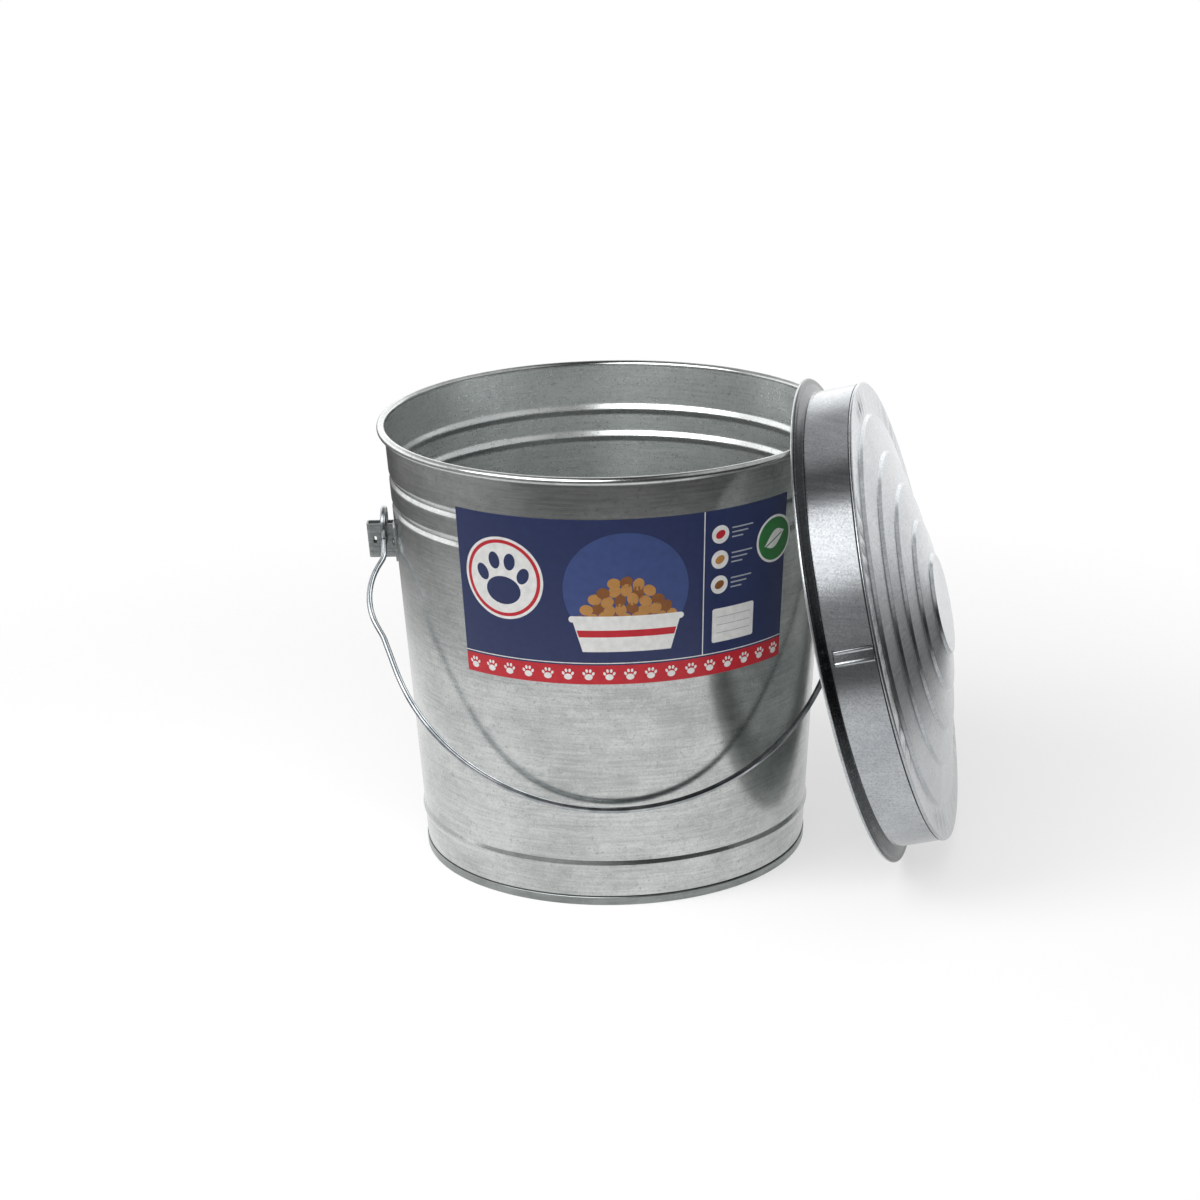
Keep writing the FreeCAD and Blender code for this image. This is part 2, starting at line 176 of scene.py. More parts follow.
def makeSpinTree():
    tree, given, out = newTree("spunSheet", [
        ("Segments", "NodeSocketInt"), ("Start", "NodeSocketFloat"),
        ("Sweep", "NodeSocketFloat"), ("Material", "NodeSocketMaterial")])
    outline = given.outputs["Geometry"]
    count = addNode(tree, "GeometryNodeAttributeDomainSize", {"Geometry": outline}).outputs["Point Count"]
    rows = addNode(tree, "FunctionNodeIntegerMath", {0: count, 1: 1}, operation="ADD").outputs[0]
    segments = given.outputs["Segments"]
    columns = addNode(tree, "FunctionNodeIntegerMath", {0: segments, 1: 1}, operation="ADD").outputs[0]
    grid = addNode(tree, "GeometryNodeMeshGrid", {"Vertices X": columns, "Vertices Y": rows}).outputs["Mesh"]
    index = addNode(tree, "GeometryNodeInputIndex").outputs[0]
    column = addNode(tree, "FunctionNodeIntegerMath", {0: index, 1: rows}, operation="DIVIDE_FLOOR").outputs[0]
    row = addNode(tree, "FunctionNodeIntegerMath", {0: index, 1: rows}, operation="MODULO").outputs[0]
    row = addNode(tree, "FunctionNodeIntegerMath", {0: row, 1: count}, operation="MODULO").outputs[0]
    place = addNode(tree, "GeometryNodeInputPosition").outputs[0]
    point = addNode(tree, "GeometryNodeSampleIndex", {"Geometry": outline, "Value": place, "Index": row},
                    data_type="FLOAT_VECTOR", domain="POINT").outputs[0]
    share = addNode(tree, "ShaderNodeMath", {0: column, 1: segments}, operation="DIVIDE").outputs[0]
    angle = addNode(tree, "ShaderNodeMath", {0: share, 1: given.outputs["Sweep"], 2: given.outputs["Start"]},
                    operation="MULTIPLY_ADD").outputs[0]
    turned = addNode(tree, "ShaderNodeVectorRotate", {"Vector": point, "Angle": angle},
                     rotation_type="Z_AXIS").outputs[0]
    shell = addNode(tree, "GeometryNodeSetPosition", {"Geometry": grid, "Position": turned}).outputs[0]
    shell = addNode(tree, "GeometryNodeMergeByDistance", {"Geometry": shell, "Distance": weld}).outputs[0]
    shell = addNode(tree, "GeometryNodeSetShadeSmooth", {"Geometry": shell}).outputs[0]
    shell = addNode(tree, "GeometryNodeRealizeInstances", {"Geometry": shell}).outputs[0]
    shell = addNode(tree, "GeometryNodeSetMaterial",
                    {"Geometry": shell, "Material": given.outputs["Material"]}).outputs[0]
    tree.links.new(shell, out.inputs[0])
    return tree


def spunPiece(name, outline, material, segments=288, start=0.0, sweep=360.0):
    mesh = bpy.data.meshes.new(name)
    points = [(p[0], 0, p[1]) for p in outline]
    mesh.from_pydata(points, [(i, i + 1) for i in range(len(points) - 1)], [])
    obj = newObject(name, mesh)
    modifier = obj.modifiers.new("spin", "NODES")
    modifier.node_group = spinTree
    setInput(modifier, "Segments", segments)
    setInput(modifier, "Start", math.radians(start))
    setInput(modifier, "Sweep", math.radians(sweep))
    setInput(modifier, "Material", material)
    settle(obj)
    cleanMesh(obj.data, closeEnds=sweep < 360)
    return obj


# Bent wire: the wire follows a line of points

def makeWireTree():
    tree, given, out = newTree("bentWire", [
        ("Wire radius", "NodeSocketFloat"), ("Sides", "NodeSocketInt"), ("Material", "NodeSocketMaterial")])
    path = addNode(tree, "GeometryNodeMeshToCurve", {"Mesh": given.outputs["Geometry"]}).outputs[0]
    ring = addNode(tree, "GeometryNodeCurvePrimitiveCircle",
                   {"Resolution": given.outputs["Sides"], "Radius": given.outputs["Wire radius"]}).outputs[0]
    wire = addNode(tree, "GeometryNodeCurveToMesh",
                   {"Curve": path, "Profile Curve": ring, "Fill Caps": True}).outputs[0]
    wire = addNode(tree, "GeometryNodeSetShadeSmooth", {"Geometry": wire}).outputs[0]
    wire = addNode(tree, "GeometryNodeRealizeInstances", {"Geometry": wire}).outputs[0]
    wire = addNode(tree, "GeometryNodeSetMaterial",
                   {"Geometry": wire, "Material": given.outputs["Material"]}).outputs[0]
    tree.links.new(wire, out.inputs[0])
    return tree


def wirePiece(name, points, radius, sides, material, closed=False):
    mesh = bpy.data.meshes.new(name)
    edges = [(i, i + 1) for i in range(len(points) - 1)]
    if closed:
        edges.append((len(points) - 1, 0))
    mesh.from_pydata(points, edges, [])
    obj = newObject(name, mesh)
    modifier = obj.modifiers.new("wire", "NODES")
    modifier.node_group = wireTree
    setInput(modifier, "Wire radius", radius)
    setInput(modifier, "Sides", sides)
    setInput(modifier, "Material", material)
    settle(obj)
    cleanMesh(obj.data)
    return obj


# Rivets: one turned rivet set on each point, its axis along the point's outward direction

def makeRivetTree():
    tree, given, out = newTree("earRivets", [
        ("Rivet", "NodeSocketObject"), ("Material", "NodeSocketMaterial")])
    source = addNode(tree, "GeometryNodeObjectInfo", {"Object": given.outputs["Rivet"], "As Instance": True})
    outward = addNode(tree, "GeometryNodeInputNamedAttribute", {"Name": "outward"},
                      data_type="FLOAT_VECTOR").outputs[0]
    turn = addNode(tree, "FunctionNodeAlignRotationToVector", {"Vector": outward}, axis="Z").outputs[0]
    rivets = addNode(tree, "GeometryNodeInstanceOnPoints", {
        "Points": given.outputs["Geometry"], "Instance": source.outputs["Geometry"], "Rotation": turn}).outputs[0]
    rivets = addNode(tree, "GeometryNodeRealizeInstances", {"Geometry": rivets}).outputs[0]
    rivets = addNode(tree, "GeometryNodeSetMaterial",
                     {"Geometry": rivets, "Material": given.outputs["Material"]}).outputs[0]
    tree.links.new(rivets, out.inputs[0])
    return tree


def joinInto(target, others):
    bm = bmesh.new()
    materials = list(target.data.materials)
    for obj in [target] + others:
        start = len(bm.faces)
        bm.from_mesh(obj.data)
        bm.faces.ensure_lookup_table()
        for material in obj.data.materials:
            if material not in materials:
                materials.append(material)
                target.data.materials.append(material)
        slots = [materials.index(material) for material in obj.data.materials]
        for face in bm.faces[start:]:
            face.material_index = slots[face.material_index]
    bm.to_mesh(target.data)
    bm.free()
    for obj in others:
        bpy.data.objects.remove(obj)
    return target


spinTree = makeSpinTree()
wireTree = makeWireTree()
rivetTree = makeRivetTree()
print("trees ready")


# Materials

zinc = dict(spangleShare=0.14, lineShare=0.9, toneSpan=(0.78, 1.26), rubTone="#777c7b", rubSpan=(0.60, 0.80),
            speckTone="#8c9190", speckSpan=(0.62, 0.76), speckShare=0.45, pitTone="#6f7473", pitSpan=(0.42, 0.68),
            roughSpan=(0.45, 1.05), roughLines=0.5, waveHeight=0.5 * mm, grainHeight=0.04 * mm)
wireFinish = dict(patchSpan=(0.35, 0.65), fineSpan=(0.3, 0.7), fineDepth=0.12, fineHeight=0.05 * mm)
film = dict(ior=1.46, deeper=0.86, mottleSpan=(0.3, 0.7), creaseDepth=0.25, creaseHeight=0.25 * mm, peelDepth=0.08,
            peelHeight=0.02 * mm)
evenly = (1, 1, 1)


def newMaterial(name):
    material = bpy.data.materials.new(name)
    material.use_nodes = True
    tree = material.node_tree
    return material, tree, tree.nodes["Principled BSDF"]


def addPatterns(tree, rows):
    # noise on the piece's own place: main blotch in mm, stretch, detail, roughness
    place = addNode(tree, "ShaderNodeTexCoord").outputs["Object"]
    patterns = []
    for sizeMm, stretch, detail, roughness in rows:
        placed = addNode(tree, "ShaderNodeMapping", {"Vector": place, "Scale": stretch}).outputs[0]
        patterns.append(addNode(tree, "ShaderNodeTexNoise", {
            "Vector": placed, "Scale": 1 / (sizeMm * mm), "Detail": detail, "Roughness": roughness}).outputs["Fac"])
    return place, patterns


def addTones(tree, colour, layers):
    # each layer lays its colour over the ones before, where its pattern runs from low to high
    for value, (low, high), share, code in layers:
        cover = addNode(tree, "ShaderNodeMapRange", {
            "Value": value, "From Min": low, "From Max": high, "To Max": share}).outputs[0]
        colour = addNode(tree, "ShaderNodeMix", {0: cover, 6: colour, 7: code}, data_type="RGBA").outputs[2]
    return colour


def galvanisedSteel(name, light="#cccecd", dark="#aaadac", rough=(0.15, 0.25), spangleMm=7.0, grainMm=1.6,
                    grainDepth=0.4, grainTone=0.24, scuff=0.3, wobble=0.22, metallic=1.0):
    # hot-dip zinc on rolled sheet: soft mirror, faint crystal spangle, rolling lines, dull rub marks and specks
    # grain and rolling lines are coarser than real ones, so that they show
    material, tree, shader = newMaterial(name)
    place, (cloud, grain, lines, speck, rub, waves) = addPatterns(tree, (
        (80.0, (1, 1, 1.6), 2.0, 0.5), (grainMm, evenly, 3.0, 0.7), (2.0, (0.05, 0.05, 1.0), 4.0, 0.65),
        (3.0, evenly, 1.0, 0.5), (9.0, (0.10, 0.10, 2.2), 4.0, 0.65), (90.0, (1, 1, 0.5), 1.0, 0.5)))
    cells = addNode(tree, "ShaderNodeTexVoronoi", {"Vector": place, "Scale": 1 / (spangleMm * mm), "Randomness": 1.0})
    cellTone = addNode(tree, "ShaderNodeSeparateColor", {"Color": cells.outputs["Color"]}).outputs[0]
    tone = addNode(tree, "ShaderNodeMath", {0: cellTone, 1: zinc["spangleShare"], 2: cloud},
                   operation="MULTIPLY_ADD").outputs[0]
    tone = addNode(tree, "ShaderNodeMath", {0: lines, 1: zinc["lineShare"], 2: tone},
                   operation="MULTIPLY_ADD").outputs[0]
    colour = addTones(tree, hexColour(dark), (
        (tone, zinc["toneSpan"], 1.0, hexColour(light)), (rub, zinc["rubSpan"], scuff, hexColour(zinc["rubTone"])),
        (speck, zinc["speckSpan"], zinc["speckShare"], hexColour(zinc["speckTone"])),
        (grain, zinc["pitSpan"], grainTone, hexColour(zinc["pitTone"]))))
    tree.links.new(colour, shader.inputs["Base Color"])
    shader.inputs["Metallic"].default_value = metallic
    dull = addNode(tree, "ShaderNodeMath", {0: lines, 1: zinc["roughLines"], 2: grain},
                   operation="MULTIPLY_ADD").outputs[0]
    low, high = zinc["roughSpan"]
    dull = addNode(tree, "ShaderNodeMapRange", {
        "Value": dull, "From Min": low, "From Max": high, "To Min": rough[0], "To Max": rough[1]}).outputs[0]
    tree.links.new(dull, shader.inputs["Roughness"])
    bump = addNode(tree, "ShaderNodeBump", {
        "Strength": wobble, "Distance": zinc["waveHeight"], "Height": waves}).outputs[0]
    bump = addNode(tree, "ShaderNodeBump", {
        "Strength": grainDepth, "Distance": zinc["grainHeight"], "Height": grain, "Normal": bump}).outputs[0]
    tree.links.new(bump, shader.inputs["Normal"])
    return material


def drawnWire(name, light="#cfd1d2", dark="#9fa3a6", rough=(0.2, 0.34)):
    # zinc-coated drawn wire: bright, with dull patches and draw marks, which are coarser here so that they show
    material, tree, shader = newMaterial(name)
    _, (patch, fine) = addPatterns(tree, ((14.0, evenly, 3.0, 0.5), (1.2, evenly, 2.0, 0.5)))
    colour = addTones(tree, hexColour(dark), ((patch, wireFinish["patchSpan"], 1.0, hexColour(light)),))
    tree.links.new(colour, shader.inputs["Base Color"])
    shader.inputs["Metallic"].default_value = 1.0
    low, high = wireFinish["fineSpan"]
    dull = addNode(tree, "ShaderNodeMapRange", {
        "Value": fine, "From Min": low, "From Max": high, "To Min": rough[0], "To Max": rough[1]}).outputs[0]
    tree.links.new(dull, shader.inputs["Roughness"])
    bump = addNode(tree, "ShaderNodeBump", {
        "Strength": wireFinish["fineDepth"], "Distance": wireFinish["fineHeight"], "Height": fine}).outputs[0]
    tree.links.new(bump, shader.inputs["Normal"])
    return material


def printedFilm(name, code, rough=0.34):
    # ink on a plastic film label: flat colour with a soft gloss, slack creases and a trace of orange peel
    material, tree, shader = newMaterial(name)
    _, (mottle, peel, creases) = addPatterns(tree, (
        (6.0, evenly, 3.0, 0.5), (2.5, evenly, 1.0, 0.5), (45.0, (1, 1, 0.5), 2.0, 0.5)))
    base = hexColour(code)
    deeper = tuple(film["deeper"] * part for part in base[:3]) + (1,)
    colour = addTones(tree, deeper, ((mottle, film["mottleSpan"], 1.0, base),))
    tree.links.new(colour, shader.inputs["Base Color"])
    shader.inputs["Roughness"].default_value = rough
    shader.inputs["IOR"].default_value = film["ior"]
    bump = addNode(tree, "ShaderNodeBump", {
        "Strength": film["creaseDepth"], "Distance": film["creaseHeight"], "Height": creases}).outputs[0]
    bump = addNode(tree, "ShaderNodeBump", {
        "Strength": film["peelDepth"], "Distance": film["peelHeight"], "Height": peel, "Normal": bump}).outputs[0]
    tree.links.new(bump, shader.inputs["Normal"])
    return material


wallSteel = galvanisedSteel("galvanisedSheetWall")
innerSteel = galvanisedSteel("galvanisedSheetInside", light="#d6d9d8", dark="#c4c8c7", rough=(0.24, 0.34),
                             grainTone=0.12, scuff=0.25, wobble=0.4, metallic=0.92)
undersideSteel = galvanisedSteel("galvanisedSheetUnderside", light="#d6d9d8", dark="#c4c8c7", rough=(0.3, 0.4),
                                 grainTone=0.1, metallic=0.6)
# painted shade: a dark copy of the sheet for the flare's upper face, standing in for the shade and dark reflections it
# shows
flareShadeSteel = galvanisedSteel("galvanisedSheetFlange", light="#4c4f51", dark="#3a3d3f", rough=(0.2, 0.32),
                              grainTone=0.1, scuff=0.1)
lidSteel = galvanisedSteel("galvanisedSheetLid", light="#bcbfc2", dark="#a6a9ad", grainMm=1.7, grainDepth=0.8,
                           grainTone=0.42, scuff=0.15)
panSteel = galvanisedSteel("galvanisedSheetBottom", light="#9a9e9d", dark="#7d8281", rough=(0.26, 0.38), scuff=0.5)
earSteel = galvanisedSteel("galvanisedEarPlate", light="#ced1d2", dark="#8b9091", rough=(0.3, 0.46), spangleMm=3.0,
                           grainMm=1.0, scuff=0.7, metallic=0.6)
bailWire = drawnWire("galvanisedBailWire", light="#b4b7ba", dark="#8a8f93", rough=(0.1, 0.2))
hiddenWire = drawnWire("plainSteelWire", light="#a9abac", dark="#808486")
rivetSteel = galvanisedSteel("zincPlatedRivet", light="#adb0b1", dark="#7f8485", rough=(0.3, 0.44), spangleMm=2.0,
                             grainMm=0.8)
# painted shade for the shadow gaps at the lid's crimp and the bottom seam: flat and near black
paintedCrimpShade = printedFilm("dirtInCrimp", "#1c1e1f", rough=0.6)
inkNavy = printedFilm("printedFilmNavy", "#27335f")
inkBlue = printedFilm("printedFilmBlue", "#3d4f86")
inkRed = printedFilm("printedFilmRed", "#c8202f")
inkWhite = printedFilm("printedFilmWhite", "#f1f1ef")
inkTan = printedFilm("printedFilmTan", "#c08a4a")
inkBrown = printedFilm("printedFilmBrown", "#8a5427")
inkGrey = printedFilm("printedFilmGrey", "#b6bcc4")
inkGreen = printedFilm("printedFilmGreen", "#2f7a3d")
print("materials ready")


# Can body

can = dict(height=385.8 * mm, rimRadius=198.8 * mm, baseRadius=168.1 * mm, sheet=0.8 * mm, rimRoll=7.0 * mm,
           rimTuck=1.0 * mm, rollShare=0.485, grooves=(316.5 * mm, 341.5 * mm), grooveWidth=9.0 * mm,
           grooveDepth=2.3 * mm, footBead=37.0 * mm, footBeadWidth=9.0 * mm, footBeadDepth=1.9 * mm,
           beadBend=3.0 * mm, seamGap=0.1 * mm, panSheet=0.8 * mm, panRise=9.0 * mm, panBend=3.0 * mm,
           seamHeight=7.5 * mm, seamBend=0.9 * mm, sideSeamWidth=9.0 * mm, sideSeamAngle=20.0,
           sideSeamMargin=4.0 * mm, seamLine=0.9 * mm, lineTuck=0.2 * mm, lineProud=(0.5 * mm, 0.25 * mm),
           wallSegments=320, seamSegments=6)
rollHeight = can["height"] - can["rimRoll"] / 2
baseInner = can["baseRadius"] - can["panSheet"] - can["seamGap"] - can["sheet"]
taper = (can["rimRadius"] - can["rimRoll"] - baseInner) / rollHeight


def wallInner(z):
    return baseInner + taper * z


def wallOuter(z):
    return wallInner(z) + can["sheet"]


def bead(z, width, lift):
    half = width / 2
    return [(wallInner(z - half), z - half), (wallInner(z) + lift, z), (wallInner(z + half), z + half)]


def wallLine():
    foot = can["panSheet"] + can["seamGap"]
    points = [(wallInner(foot), foot)] + bead(can["footBead"], can["footBeadWidth"], can["footBeadDepth"])
    for z in can["grooves"]:
        points += bead(z, can["grooveWidth"], -can["grooveDepth"])
    return points


def makeBodyWall():
    points = wallLine()
    bends = [can["beadBend"]] * (len(points) - 1) + [can["rimRoll"] * can["rollShare"]] * 3
    top, edge, roll = can["height"], can["rimRadius"], can["rimRoll"]
    points += [(wallInner(top), top), (edge, top), (edge, top - roll), (edge - roll / 2 - can["rimTuck"], top - roll)]
    outline = sheetOutline(points, bends, 0, -can["sheet"])
    wall = spunPiece("bodyWall", outline, wallSteel, segments=can["wallSegments"])
    low, high = can["seamHeight"] + can["sideSeamMargin"], top - roll - can["sideSeamMargin"]
    points = [(wallInner(low), low)] + wallLine()[1:] + [(wallInner(high), high)]
    sweep = math.degrees(can["sideSeamWidth"] / edge)
    outline = sheetOutline(points, [can["beadBend"]] * (len(points) - 2), -can["sheet"] / 2, -2 * can["sheet"])
    seam = spunPiece("sideSeam", outline, wallSteel, segments=can["seamSegments"], start=can["sideSeamAngle"],
                     sweep=sweep)
    joinInto(wall, [seam])
    inside = len(wall.data.materials)
    wall.data.materials.append(innerSteel)
    for face in wall.data.polygons:
        inward = face.center.x * face.normal.x + face.center.y * face.normal.y < 0
        if inward and face.center.z < top - roll:
            face.material_index = inside
    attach(wall, "can")
    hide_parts("body_wall")
    return wall


def makeBottomPan():
    inner, outer = -can["seamGap"] - can["panSheet"], can["seamGap"] + can["panSheet"]
    rise, seam = can["panRise"], can["seamHeight"]
    points = [(0, rise), (wallInner(rise) + inner, rise), (wallInner(0) + inner, 0), (wallOuter(0) + outer, 0),
              (wallOuter(seam) + outer, seam)]
    bends = [can["panBend"], can["seamBend"], can["seamBend"]]
    pan = spunPiece("bottomPan", sheetOutline(points, bends, 0, can["panSheet"]), panSteel)
    # painted shade: dark line where the seam closes on the wall, standing in for the shadow in that gap
    foot, high = seam - can["lineTuck"], seam + can["seamLine"]
    footProud, topProud = can["lineProud"]
    line = [(wallInner(seam), foot), (wallOuter(seam) + footProud, foot), (wallOuter(high) + topProud, high),
            (wallInner(high), high)]
    joinInto(pan, [spunPiece("seamLine", line, paintedCrimpShade)])
    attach(pan, "can")
    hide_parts("bottom_pan")
    return pan


bodyWall = makeBodyWall()
bottomPan = makeBottomPan()
print("can body ready")


# Lid

lid = dict(fitGap=0.4 * mm, depth=49.6 * mm, flangeReach=12.8 * mm, flangeRoll=4.4 * mm, flangeHeight=7.6 * mm,
           flareShare=0.65, flareBend=3.0 * mm, flangeTuck=0.9 * mm, lip=2.6 * mm, crimpLine=1.1 * mm,
           crimpProud=0.3 * mm, crimpGap=0.1 * mm, crimpBend=1.6 * mm, ringShares=(0.22, 0.375, 0.54, 0.69, 0.86),
           ringRise=2.6 * mm, ringRun=2.4 * mm, ringBend=1.2 * mm, treadFall=4.9 * mm, spacing=5.0 * mm,
           topSegments=480, ripple=0.8 * mm, rippleCount=58, rippleDrift=((5, 2.2), (13, 1.3)), ripplePatches=7,
           patchStart=1.2, patchDrift=(3, 2), calm=0.12, seamWidth=14.0 * mm, seamThickness=0.9 * mm, seamAngle=81.2,
           seamEdge=3.8 * mm, seamFold=0.7 * mm, seamFoot=0.25, seamClimb=2.5, seamRound=(0.3 * mm, 0.6 * mm),
           seamSteps=36, seamMargin=1.5 * mm, lean=12.8, turn=-10.3, out=211.4317 * mm, floorGap=0.1 * mm)
skirtInner = can["rimRadius"] + lid["fitGap"]
skirtOuter = skirtInner + can["sheet"]
flangeRadius = skirtOuter + lid["flangeReach"]
lipOuter = skirtOuter + lid["crimpGap"] + can["sheet"]


def lidPlace():
    lean, turn = math.radians(lid["lean"]), math.radians(lid["turn"])
    roll = lid["flangeRoll"] / 2
    height = (flangeRadius - roll) * math.cos(lean) - roll * math.sin(lean) + roll + lid["floorGap"]
    forward = Vector((math.cos(turn), math.sin(turn), 0))
    top = forward * math.cos(lean) + Vector((0, 0, math.sin(lean)))
    up = Vector((0, 0, math.cos(lean))) - forward * math.sin(lean)
    place = Matrix((up, top.cross(up), top)).transposed().to_4x4()
    place.translation = forward * lid["out"] + Vector((0, 0, height))
    return place


def standLid(obj, node):
    under = len(obj.data.materials)
    obj.data.materials.append(undersideSteel)
    for face in obj.data.polygons:
        outward = face.center.x * face.normal.x + face.center.y * face.normal.y
        if face.normal.z < -0.5 or (outward < 0 and face.normal.z < 0.5):
            face.material_index = under
    obj.data.transform(lidPlace())
    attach(obj, "lid")
    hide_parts(node)
    return obj


def makeLidTop():
    shares = lid["ringShares"]
    height = lid["depth"] + len(shares) * lid["ringRise"] + (len(shares) - 1) * lid["treadFall"]
    points = [(0, height)]
    for i, share in enumerate(shares):
        height -= lid["treadFall"] if i else 0
        points.append((share * skirtOuter - lid["ringRun"] / 2, height))
        height -= lid["ringRise"]
        points.append((share * skirtOuter + lid["ringRun"] / 2, height))
    bends = [lid["ringBend"]] * (len(points) - 1) + [lid["crimpBend"]]
    points += [(lipOuter, lid["depth"]), (lipOuter, lid["depth"] - lid["lip"])]
    outline = sheetOutline(points, bends, 0, -can["sheet"], lid["spacing"])
    top = spunPiece("lidTop", outline, lidSteel, segments=lid["topSegments"])
    first, last = shares[-1] * skirtOuter + lid["ringRun"], lipOuter - 2 * lid["crimpBend"]
    for vert in top.data.vertices:
        # the pressed outer band is never quite flat
        share = (math.hypot(vert.co.x, vert.co.y) - first) / (last - first)
        if 0 < share < 1:
            angle = math.atan2(vert.co.y, vert.co.x)
            phase = lid["rippleCount"] * angle
            for turns, reach in lid["rippleDrift"]:
                phase += reach * math.sin(turns * angle)
            turns, part = lid["patchDrift"]
            patch = math.sin(lid["ripplePatches"] * angle + lid["patchStart"] + math.sin(turns * angle) / part)
            wave = math.sin(phase) * max(lid["calm"], patch)
            vert.co.z += lid["ripple"] * math.sin(math.pi * share) * wave
    return standLid(top, "lid_top")


def makeLidSeam(low, high):
    # a pad whose two edges are rounded folds
    count = lid["seamSteps"]
    width, edge = lid["seamWidth"], lid["seamEdge"]
    inset, rounding = lid["seamRound"]
    bm = bmesh.new()
    rings = []
    for i in range(count + 1):
        along = width * i / count
        fromEdge = min(along, width - along)
        height = lid["seamThickness"]
        if fromEdge < edge:
            height += lid["seamFold"] * math.sin(math.pi * fromEdge / edge)
            height *= min(1.0, lid["seamFoot"] + lid["seamClimb"] * fromEdge / edge)
        angle = math.radians(lid["seamAngle"]) + (along - width / 2) / skirtOuter
        inner, outer = skirtOuter - can["sheet"] / 2, skirtOuter + height
        ring = [(inner, low), (outer - inset, low), (outer, low + rounding), (outer, high - rounding),
                (outer - inset, high), (inner, high)]
        rings.append([bm.verts.new((r * math.cos(angle), r * math.sin(angle), z)) for r, z in ring])
    for a, b in zip(rings, rings[1:]):
        for i in range(len(a)):
            j = (i + 1) % len(a)
            bm.faces.new((a[i], a[j], b[j], b[i]))
    bm.faces.new(rings[0])
    bm.faces.new(rings[-1])
    bmesh.ops.recalc_face_normals(bm, faces=bm.faces)
    for face in bm.faces:
        face.smooth = len(face.verts) == 4
    mesh = bpy.data.meshes.new("lidSeam")
    bm.to_mesh(mesh)
    bm.free()
    mesh.materials.append(lidSteel)
    return newObject("lidSeam", mesh)


def makeLidSkirt():
    sheet, roll = can["sheet"], lid["flangeRoll"]
    edge = flangeRadius - sheet
    flareEnd = skirtInner + lid["flareShare"] * (edge - skirtInner)
    points = [(skirtInner, lid["depth"] - lid["crimpBend"] - lid["crimpGap"]), (skirtInner, lid["flangeHeight"]),
              (flareEnd, roll - sheet), (edge, roll - sheet), (edge, sheet),
              (flangeRadius - roll / 2 - lid["flangeTuck"], sheet)]
    rollBend = (roll - 2 * sheet) * can["rollShare"]
    bends = [lid["flareBend"], lid["flareBend"], rollBend, rollBend]
    skirt = spunPiece("lidSkirt", sheetOutline(points, bends, 0, sheet), lidSteel)
    low = lid["flangeHeight"] + lid["flareBend"] + lid["seamMargin"]
    edge = lid["depth"] - lid["lip"]
    high = edge - lid["crimpLine"]
    # painted shadow: dark line under the turned-down edge of the top
    inner, outer, top = skirtOuter - sheet / 2, skirtOuter + lid["crimpProud"], edge + lid["crimpProud"]
    line = [(inner, high), (outer, high), (outer, top), (inner, top)]
    joinInto(skirt, [makeLidSeam(low, high), spunPiece("crimpLine", line, paintedCrimpShade)])
    # painted shade: the upper face of the flare gets a dark copy of the sheet, standing in for its shade and dark
    # reflections
    dull = len(skirt.data.materials)
    skirt.data.materials.append(flareShadeSteel)
    for face in skirt.data.polygons:
        outward = face.center.x * face.normal.x + face.center.y * face.normal.y
        if face.normal.z > 0.15 and outward > -0.1 * skirtOuter and face.center.z < low - lid["seamMargin"]:
            face.material_index = dull
    return standLid(skirt, "lid_skirt")


makeLidTop()
makeLidSkirt()
print("lid ready")


# Bail

bail = dict(pivot=292.0 * mm, wire=2.5 * mm, eyeReach=196.0 * mm, eyeRadius=13.5 * mm, eyeWire=2.7 * mm,
            reach=270.0 * mm, bowRadius=196.0 * mm, bowEnd=19.0, kickDrop=108.0 * mm, kickBend=30.0 * mm,
            shoulder=(216.9 * mm, 68.2 * mm), shoulderBend=60.0 * mm, legDrop=32.0 * mm, legBend=14.0 * mm,
            restGap=6.0 * mm, sides=20, bowSteps=120, eyeSteps=72, arcStep=4.0, tiltRounds=30)


def bailTilt():
    tilt = math.pi / 4
    standOff = (bail["wire"] + bail["restGap"]) / math.cos(math.atan(taper))
    for _ in range(bail["tiltRounds"]):
        tilt = math.asin((wallOuter(bail["pivot"] - bail["reach"] * math.cos(tilt)) + standOff) / bail["reach"])
    return tilt


def makeBail():
    tilt = bailTilt()
    angle = math.radians(bail["bowEnd"])
    middle = bail["reach"] - bail["bowRadius"]
    end = (bail["bowRadius"] * math.cos(angle), middle + bail["bowRadius"] * math.sin(angle))
    kick = (end[0] + (end[1] - bail["kickDrop"]) * math.tan(angle), bail["kickDrop"])
    corners = [(bail["eyeReach"], bail["eyeRadius"]), (bail["eyeReach"], bail["legDrop"]), bail["shoulder"], kick, end]
    side = roundedLine(corners, [bail["legBend"], bail["shoulderBend"], bail["kickBend"]], arcStep=bail["arcStep"])
    bow = [Vector((bail["bowRadius"] * math.cos(a), middle + bail["bowRadius"] * math.sin(a)))
           for a in (angle + (math.pi - 2 * angle) * i / bail["bowSteps"] for i in range(1, bail["bowSteps"]))]
    line = side + bow + [Vector((-p.x, p.y)) for p in reversed(side)]
    points = [(p.x, -p.y * math.sin(tilt), bail["pivot"] - p.y * math.cos(tilt)) for p in line]
    wire = wirePiece("bailHandle", points, bail["wire"], bail["sides"], bailWire)
    eyes = []
    for sign in (-1, 1):
        turns = [2 * math.pi * i / bail["eyeSteps"] for i in range(bail["eyeSteps"])]
        radius = bail["eyeRadius"]
        ring = [(sign * bail["eyeReach"], radius * math.cos(a), bail["pivot"] + radius * math.sin(a)) for a in turns]
        eyes.append(wirePiece("bailEye", ring, bail["eyeWire"], bail["sides"], bailWire, closed=True))
    joinInto(wire, eyes)
    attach(wire, "bail")
    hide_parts("bail_handle")
    return wire


makeBail()
print("bail ready")


# Ears and rivets

